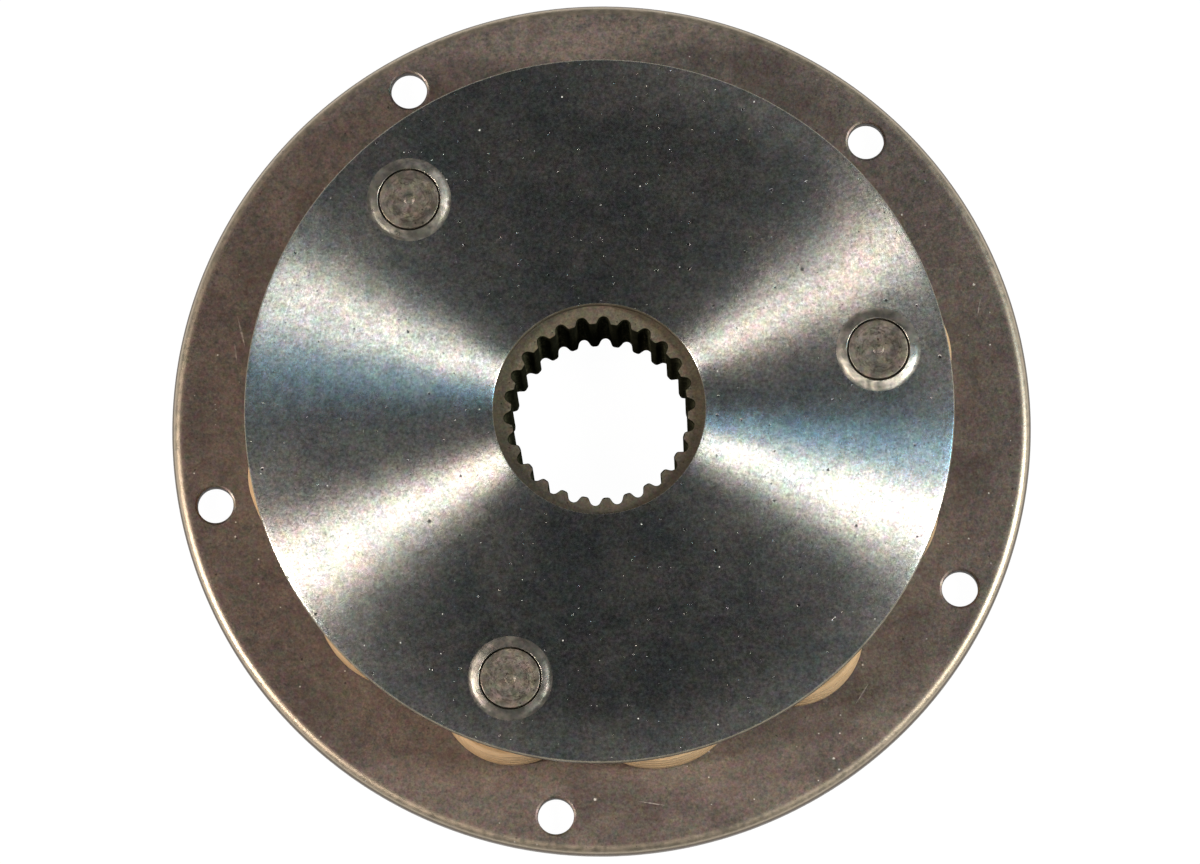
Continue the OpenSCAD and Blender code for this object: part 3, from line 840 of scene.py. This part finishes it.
def window_outline(reach):
    """A curved slot about +X, clockwise: outer arc, round end, inner arc, round end."""
    axis, half, radius = np.zeros(2), WINDOW_TURN, WINDOW_R * MM
    outer = arc(axis, reach + radius, half, -half, steps=11, swells=False)
    far_end = arc(polar(reach, -half), radius, -half, -half - math.pi, steps=41, swells=False)
    inner = arc(axis, reach - radius, -half, half, steps=9)
    near_end = arc(polar(reach, half), radius, half + math.pi, half, steps=41, swells=False)
    points, normals = joined(outer, far_end, inner, near_end, shared=1)
    return points[1:], normals[1:]


def make_flange():
    """Round plate with a large front radius: bore, bolt holes, seats sunk in its rear face, and three windows."""
    low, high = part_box("flange_plate")
    oiled, drilled_and_shaded = range(2)
    edge = wall(rim(0, 0, (high.x - low.x) / 2, steps=576), low.z, *drop(FLANGE_T, 0, FLANGE_EDGE_R, 0.3, 3.1))
    bore = wall(hole(0, 0, FLANGE_BORE_R * MM, steps=256), low.z, *drop(FLANGE_T, 0, 0.3, 0.3))
    walls = [(edge, oiled), (bore, oiled)]
    for angle in BOLT_TURNS:
        x, y = polar(BOLT_REACH * MM, angle)
        bolt_hole = wall(hole(x, y, BOLT_HOLE_R * MM, steps=96), low.z, (FACE_MARGIN, FLANGE_T),
                         (BOLT_CHAMFER_W, FLANGE_T, 0.3), (0, FLANGE_T - BOLT_CHAMFER_H, 0.2),
                         (0, BOLT_REAR_CHAMFER, 0.2), (BOLT_REAR_CHAMFER, 0, 0.12), (0.7, 0))
        walls.append((bolt_hole, banded(bolt_hole, half_round(2), half_round(3) + 1, drilled_and_shaded)))
    shank = SHANK_HOLE_R - SEAT_R
    for i in (1, 2, 3):
        axis = centre_of(f"flange_rivet_{i}")
        seat = wall(hole(axis.x, axis.y, SEAT_R * MM, steps=96), low.z, (shank + 0.6, FLANGE_T),
                    (shank, FLANGE_T, 0.2), (shank, HEAD_SEAT_T, 0.15), (0, HEAD_SEAT_T, 0.15),
                    (0, 0, 0.25), (0.7, 0))
        axis = centre_of(f"hub_rivet_{i}")
        window = turned(window_outline(math.hypot(axis.x, axis.y)), math.atan2(axis.y, axis.x))
        walls += [(seat, oiled), (wall(window, low.z, *drop(FLANGE_T, 0, 0.25, 0.25, 0.7, 0.7)), oiled)]
    piece = closed_piece("flange_shell", walls, both_faces(walls, oiled), [oiled_steel(), hole_wall()])
    fit(piece, "flange_side", "flange_plate")


def arm_outline(reach):
    """Three arms with round ends, anticlockwise. Each hollow side is one arc that touches two ends and passes the
    axis at the waist."""
    third, end_r, waist = math.tau / 3, ARM_END_R * MM, ARM_WAIST * MM
    end, next_end = polar(reach, 0), polar(reach, third)
    side_r = (end_r ** 2 - waist ** 2 + waist * reach - reach ** 2) / (2 * waist - reach - 2 * end_r)
    middle = polar(waist + side_r, third / 2)
    wrap = turn_of(middle - end)
    tip = arc(end, end_r, -wrap, wrap, steps=49)
    side = arc(middle, side_r, turn_of(end - middle), turn_of(next_end - middle), steps=33, swells=False)
    arm = [part[:-1] for part in joined(tip, side, shared=1)]
    return joined(*(turned(arm, third * i) for i in range(3)))


def spline_outline():
    """The toothed opening, clockwise. One space is a line from tooth to tooth through a deep V, whose corners are
    rounded at the tips and into the round root; a point's normal is square to the line between its neighbours."""
    deep = ROOT_REACH + ROOT_ROUND_R / math.sin(TOOTH_FLARE)
    pitch = math.pi / TEETH
    slope = math.tan(TOOTH_FLARE)
    rest = math.sqrt(TOOTH_TIP_R ** 2 * (1 + slope ** 2) - (deep * slope) ** 2)
    tip_x = (deep * slope ** 2 + rest) / (1 + slope ** 2)
    tip_y = (deep - tip_x) * slope
    land_x, land_y = polar(TOOTH_TIP_R, pitch)
    space = rounded((land_x, -land_y), (tip_x, -tip_y, TIP_ROUND_R), (deep, 0, ROOT_ROUND_R),
                    (tip_x, tip_y, TIP_ROUND_R), (land_x, land_y), steps=9)
    out = polar(1.0, FIRST_SPACE + np.arange(TEETH) * 2 * pitch)
    across = np.stack([-out[:, 1], out[:, 0]], -1)
    ring = space[:-1, :1] * out[:, None] + space[:-1, 1:] * across[:, None]
    points = ring.reshape(-1, 2)[::-1] * MM
    ahead = np.roll(points, -1, 0) - np.roll(points, 1, 0)
    ahead /= np.linalg.norm(ahead, axis=1, keepdims=True)
    return points, np.stack([ahead[:, 1], -ahead[:, 0]], -1)


def spline_wall(foot, height):
    """The teeth from face to face. Each face's lead-in is a cone: a point r from the axis keeps
    SPLINE_LEAD - (r - tip) away from the face, where that is more than nothing. A ledge where the cone meets the
    face, and two round rows outside it, keep the face flat."""
    outline = spline_outline()
    teeth = wall(outline, foot, *drop(height, 0, 0.08, 0.08, 0.12, 0.12))
    reach = np.hypot(teeth[..., 0], teeth[..., 1])
    lead_end = (TOOTH_TIP_R + SPLINE_LEAD) * MM
    back = np.clip(lead_end - reach, 0, SPLINE_LEAD * MM)
    teeth[..., 2] = np.clip(teeth[..., 2], foot + back, foot + height * MM - back)
    around = outline[0] / np.hypot(*outline[0].T)[:, None]
    ledge = teeth[0, :, :2] / reach[0][:, None] * (np.maximum(reach[0], lead_end) + SPLINE_LEDGE * MM)[:, None]
    face = np.stack([around * (HUB_FACE_R * MM), around * (TEETH_CLEAR_R * MM), ledge])
    return np.concatenate([raised(face, np.full(3, foot + height * MM)), teeth, raised(face[::-1], np.full(3, foot))])


def make_hub():
    """Barrel and three-armed flange in one: arms, barrel with a hollow under the flange, teeth, and shank holes."""
    low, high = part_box("splined_hub")
    ground, oily_and_shaded, forged = range(3)
    height = (high.z - low.z) / MM
    under = height - ARM_T
    axes = [centre_of(f"hub_rivet_{i}") for i in (1, 2, 3)]
    arms = turned(arm_outline(math.hypot(axes[0].x, axes[0].y)), math.atan2(axes[0].y, axes[0].x))
    barrel = wall(rim(0, 0, BARREL_R * MM, steps=256), low.z, (-BARREL_SWEEP_R - 0.6, under),
                  (0, under, BARREL_SWEEP_R), (0, 0, BARREL_END_R), (2 * BARREL_END_R, 0))
    teeth = spline_wall(low.z, height)
    # The teeth's first and last two bands are part of the faces.
    walls = [(wall(arms, low.z, *drop(height, under, 0.5, 0.5)), forged), (barrel, forged),
             (teeth, banded(teeth, 2, -2, oily_and_shaded))]
    for axis in axes:
        shank_hole = hole(axis.x, axis.y, SHANK_HOLE_R * MM, steps=72)
        walls.append((wall(shank_hole, low.z, *drop(height, under, 0.2, 0.2, 0.6, 0.6)), forged))
    at_arms, at_barrel, at_teeth, *at_holes = range(len(walls))
    front = [(number, TOP) for number in (at_arms, at_teeth, *at_holes)]
    behind_arms = [(at_arms, BOTTOM), (at_barrel, TOP)] + [(number, BOTTOM) for number in at_holes]
    rear = [(at_barrel, BOTTOM), (at_teeth, BOTTOM)]
    flats = [(front, UP, ground), (behind_arms, DOWN, forged), (rear, DOWN, forged)]
    piece = closed_piece("hub_forging", walls, flats, [ground_ring(), oily_teeth(high.z), forging_skin()])
    fit(piece, "hub_side", "splined_hub")


def make_rivet(side, i):
    """One turned profile about the rivet's own axis. A hub rivet's flat head is on top, with a shallow dish and a
    pip; a flange rivet's is below."""
    name = f"{side}_rivet_{i}"
    low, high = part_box(name)
    axis = centre_of(name)
    height = (high.z - low.z) / MM

    def at(radius, level, rounding=0):
        return FORMED_R - radius, level, rounding

    if side == "hub":
        face = height - PIP_H
        under = (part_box("front_disc")[0].z - low.z) / MM + DISC_T - HEAD_SEAT_T
        profile = [at(0.5, height), at(PIP_R, height, 0.12), at(PIP_R + 0.3, face - 0.1, 0.2),
                   at(3.5, face - 0.06, 3), at(DISH_R, face, 1.2), at(HEAD_R, face, 0.15), at(HEAD_R, under, 0.1),
                   at(SHANK_R, under, 0.1), at(SHANK_R, FORMED_T, 0.1), at(FORMED_R, FORMED_T, 0.2),
                   at(FORMED_R, 0, FORMED_EDGE_R), at(0.5, 0)]
    else:
        under, grip = HEAD_SEAT_T - HEAD_SUNK, height - FORMED_T
        profile = [at(0.5, height), at(FORMED_R, height, FORMED_EDGE_R), at(FORMED_R, grip, 0.2),
                   at(SHANK_R, grip, 0.1), at(SHANK_R, under, 0.1), at(HEAD_R, under, 0.1), at(HEAD_R, 0, 0.3),
                   at(0.5, 0)]
    walls = [(wall(rim(axis.x, axis.y, FORMED_R * MM, steps=96), low.z, *profile), 0)]
    finish = pressed_rivet(f"pressed_{name}", axis.x, axis.y)
    fit(closed_piece(f"{side}_stud_{i}", walls, both_faces(walls), [finish]), f"{side}_side", name)


make_front_disc()
make_flange()
make_hub()
for number in (1, 2, 3):
    make_rivet("hub", number)
    make_rivet("flange", number)


# Studio: a pale floor, two long soft lamps left and right with a small cool one, and a pale wall all round under a
# ceiling that is dim but for its sides.

FLOOR_SPAN = 6.0
FLOOR_DROP = 0.2 * MM
FLOOR_WHITE = 0.93
BACKDROP_LEVEL = 1.06
WALL_LEVEL = 0.75
CEILING_LEVEL = 0.038
SIDES_LEVEL = 0.13


def make_floor():
    """A level sheet just under the coupling. The camera, a mirror or glass sees it nearly as plain white."""
    corners = np.array([[-1, -1, 0], [1, -1, 0], [1, 1, 0], [-1, 1, 0]]) * FLOOR_SPAN / 2 - [0, 0, FLOOR_DROP]
    f = Finish("pale_floor", Base_Color=(0.9, 0.9, 0.9, 1), Roughness=1.0, Specular_IOR_Level=0.0)
    ray = f.node("LightPath").outputs
    seen = f.math("MAXIMUM", ray["Is Camera Ray"], ray["Is Glossy Ray"])
    seen = f.math("MAXIMUM", seen, ray["Is Transmission Ray"])
    glow = f.add("Emission", {"Strength": BACKDROP_LEVEL})
    shown = f.add("MixShader", {0: f.math("MULTIPLY", seen, FLOOR_WHITE), 1: f.shader.outputs[0], 2: glow})
    f.feed(f.tree.nodes["Material Output"].inputs[0], shown)
    floor = make_piece("floor", corners, [(0, 1, 2, 3)], [f.material])


def make_world():
    """Light from all round: the wall fades into the ceiling with height, and the ceiling's sides are a little paler.
    The camera sees plain white."""
    world = bpy.data.worlds.new("studio")
    bpy.context.scene.world = world
    world.use_nodes = True
    nodes = Nodes(world.node_tree)
    towards = nodes.node("SeparateXYZ", {0: nodes.add("TexCoord", output="Generated")}).outputs
    around = nodes.spread(towards["Z"], 0.02, 0.3, WALL_LEVEL, CEILING_LEVEL)
    sides = nodes.spread(nodes.math("ABSOLUTE", towards["X"]), 0.15, 0.75, 0.0, SIDES_LEVEL)
    camera_only = nodes.add("LightPath", output="Is Camera Ray")
    background = nodes.tree.nodes["Background"].inputs
    background["Color"].default_value = (1, 1, 1, 1)
    nodes.feed(background["Strength"], nodes.math("MAXIMUM", nodes.math("ADD", around, sides), camera_only))


def lamp(name, azimuth, from_zenith, distance, width, length, watts, tone):
    """A soft lamp aimed at the coupling: width is level, length runs towards the zenith."""
    a, p = math.radians(azimuth), math.radians(from_zenith)
    light = bpy.data.lights.new(name, "AREA")
    light.shape = "RECTANGLE"
    light.size, light.size_y = width, length
    light.energy = watts
    light.color = tone
    holder = bpy.data.objects.new(name, light)
    holder.location = (*(distance * math.sin(p) * polar(1.0, a)), distance * math.cos(p))
    holder.rotation_euler = (p, 0, a + math.pi / 2)
    bpy.context.collection.objects.link(holder)


make_floor()
make_world()
lamp("lamp_left", 196.4, 45, distance=1.3, width=0.13, length=0.7, watts=11.5, tone=(1.0, 0.88, 0.79))
lamp("lamp_right", -7.7, 45, distance=1.3, width=0.13, length=0.7, watts=11.5, tone=(1.0, 0.94, 0.86))
lamp("lamp_cool", 3.8, 42, distance=1.4, width=0.07, length=0.5, watts=2.0, tone=(0.28, 0.7, 1.0))
